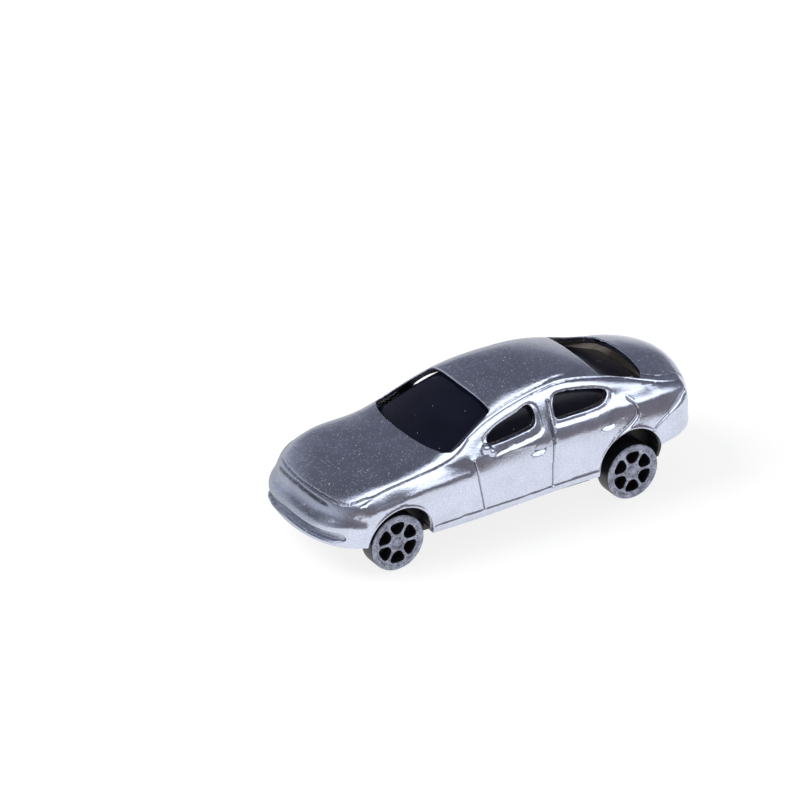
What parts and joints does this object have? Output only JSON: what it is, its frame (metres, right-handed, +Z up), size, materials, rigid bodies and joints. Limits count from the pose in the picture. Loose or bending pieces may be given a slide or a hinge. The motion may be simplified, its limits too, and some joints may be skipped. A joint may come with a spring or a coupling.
{
  "type": "toy saloon car",
  "caption": "Small free-wheeling four-door saloon toy car with a bright plated one-piece shell, dark cabin insert, black chassis and one-piece wheels on steel axles.",
  "frame": {"origin": "on the ground, under the middle of the car's length and width", "axes": "-Y is the way the car faces, +X is its left side, +Z is up"},
  "size_m": [0.0262, 0.068, 0.023],
  "materials": {
    "bright_plating": "bright vacuum-metallised plating over moulded plastic, finely speckled",
    "dark_gloss": "glossy blue-black moulding with fine dust and scratches",
    "black_plastic": "plain moulded black",
    "wheel_plastic": "black moulding with a worn silver stamped face",
    "steel": "plain drawn wire"
  },
  "bodies": {
    "car_body": {"body_shell": "bright_plating", "cabin_insert": "dark_gloss", "chassis": "black_plastic", "front_axle_keeper": "black_plastic", "rear_axle_keeper": "black_plastic", "chassis_screw_front": "steel", "chassis_screw_rear": "steel"},
    "front_wheelset": {"front_axle": "steel", "wheel_front_left": "wheel_plastic", "wheel_front_right": "wheel_plastic"},
    "rear_wheelset": {"rear_axle": "steel", "wheel_rear_left": "wheel_plastic", "wheel_rear_right": "wheel_plastic"}
  },
  "joints": [
    {"name": "front_axle_roll", "type": "hinge", "parent": "car_body", "child": "front_wheelset", "pos_m": [0, -0.022, 0.0046], "axis": [1, 0, 0], "continuous": true},
    {"name": "rear_axle_roll", "type": "hinge", "parent": "car_body", "child": "rear_wheelset", "pos_m": [0, 0.0203, 0.0046], "axis": [1, 0, 0], "continuous": true}
  ]
}
